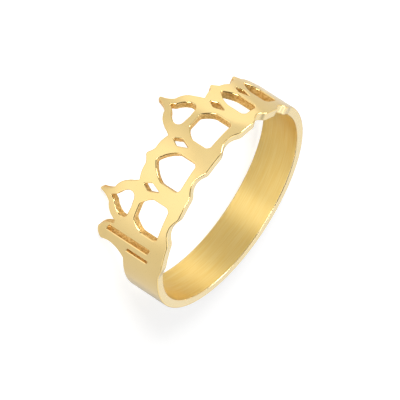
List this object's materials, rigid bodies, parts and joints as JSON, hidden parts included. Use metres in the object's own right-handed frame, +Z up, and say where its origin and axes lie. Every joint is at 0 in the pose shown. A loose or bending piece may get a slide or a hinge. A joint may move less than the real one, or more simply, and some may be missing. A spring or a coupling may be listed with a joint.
{
  "type": "name ring",
  "caption": "Name ring bent from one flat metal strip, with a plain band behind. In front, where a name is usually cut, it has a taller pierced crest of pointed openings.",
  "frame": {"origin": "on the surface that the ring lies on, under the middle of its bounding box", "axes": "+Z up from the surface; the crest faces -Y and the plain back of the band +Y; the finger's axis leans 11.45 degrees from +Z towards +Y, because the ring lies on the tips of its two tall gables and the back of its band"},
  "size_m": [0.0188, 0.0194, 0.0074],
  "materials": {
    "gold_plate": "polished outside, satin inside"
  },
  "bodies": {
    "root": {"pierced_ring": "gold_plate"}
  },
  "joints": []
}
